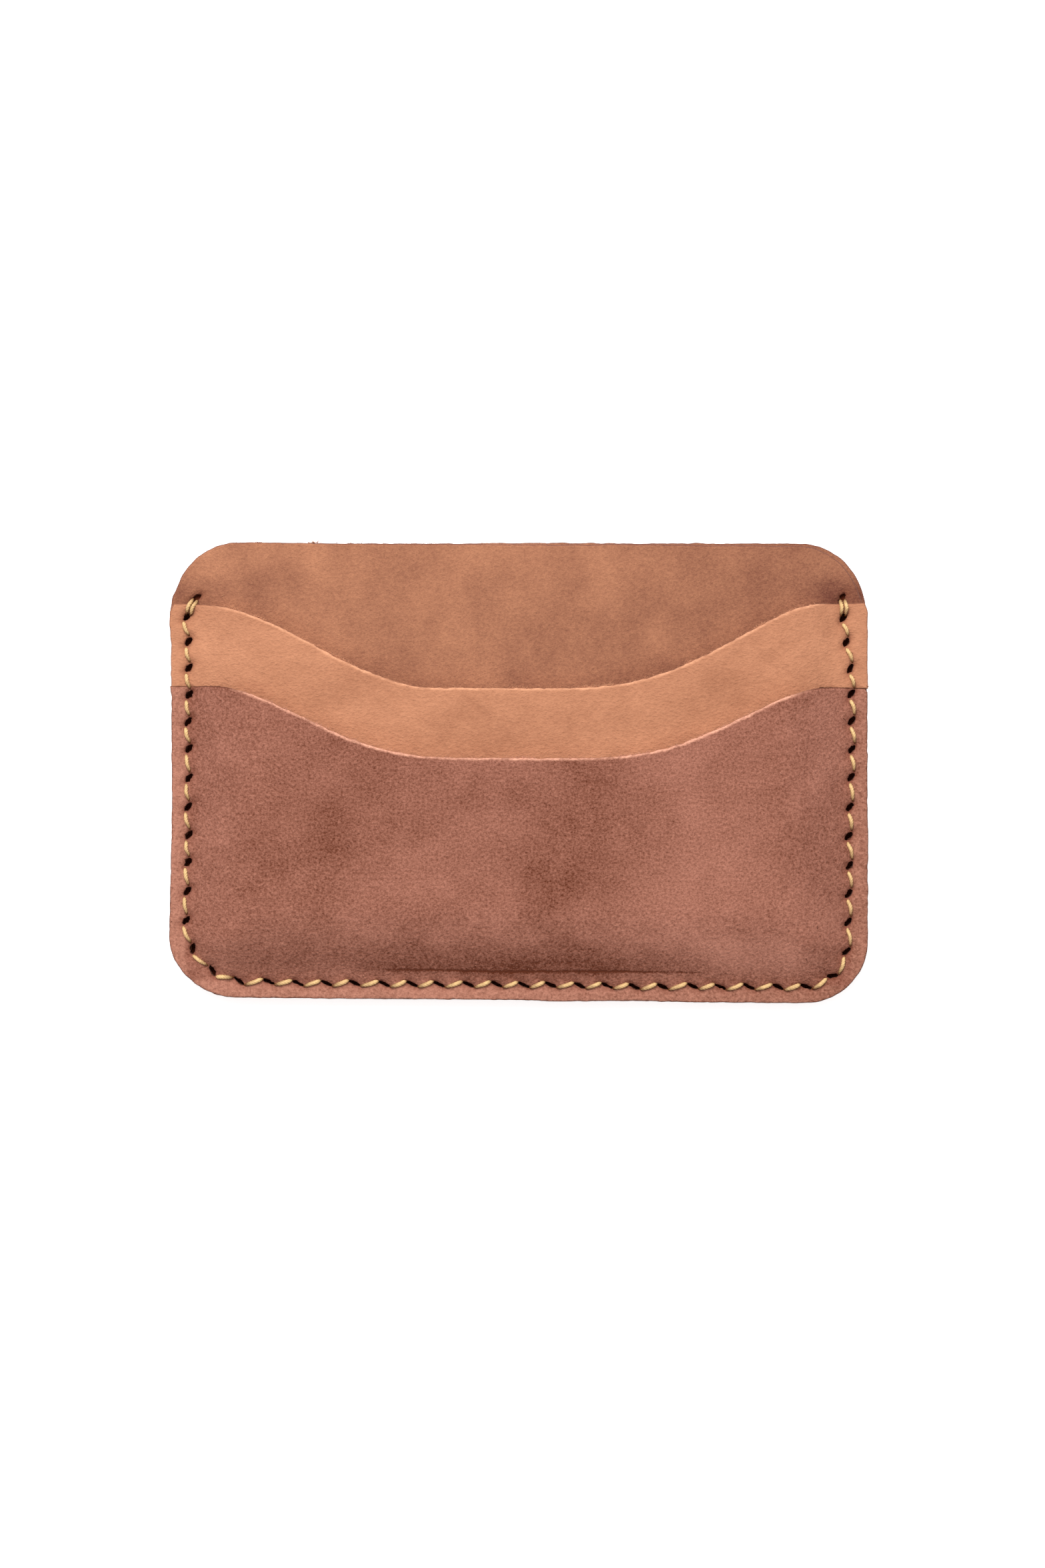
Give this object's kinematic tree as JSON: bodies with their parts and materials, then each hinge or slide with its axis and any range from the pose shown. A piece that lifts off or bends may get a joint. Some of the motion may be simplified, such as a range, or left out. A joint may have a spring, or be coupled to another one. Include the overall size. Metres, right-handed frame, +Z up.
{
  "type": "card holder",
  "caption": "Slim hand-stitched leather card holder with two scooped front pockets and an open centre slot.",
  "frame": {"origin": "centre of the holder's footprint, on the flat rear face that it rests on", "axes": "+X to the right across the holder, +Y towards the open slot mouths, +Z up out of the pockets' faces"},
  "size_m": [0.098, 0.064, 0.0072],
  "materials": {
    "panel_leather": "matt oiled nubuck with a fine nap and darker blotches",
    "middle_leather": "matt oiled nubuck, lighter tan",
    "front_leather": "matt oiled nubuck, darker reddish brown",
    "thread": "waxed cream thread, twisted"
  },
  "bodies": {
    "root": {"rear_panel": "panel_leather", "centre_panel": "panel_leather", "middle_pocket": "middle_leather", "front_pocket": "front_leather", "seam_thread": "thread", "pocket_thread": "thread"}
  },
  "joints": []
}
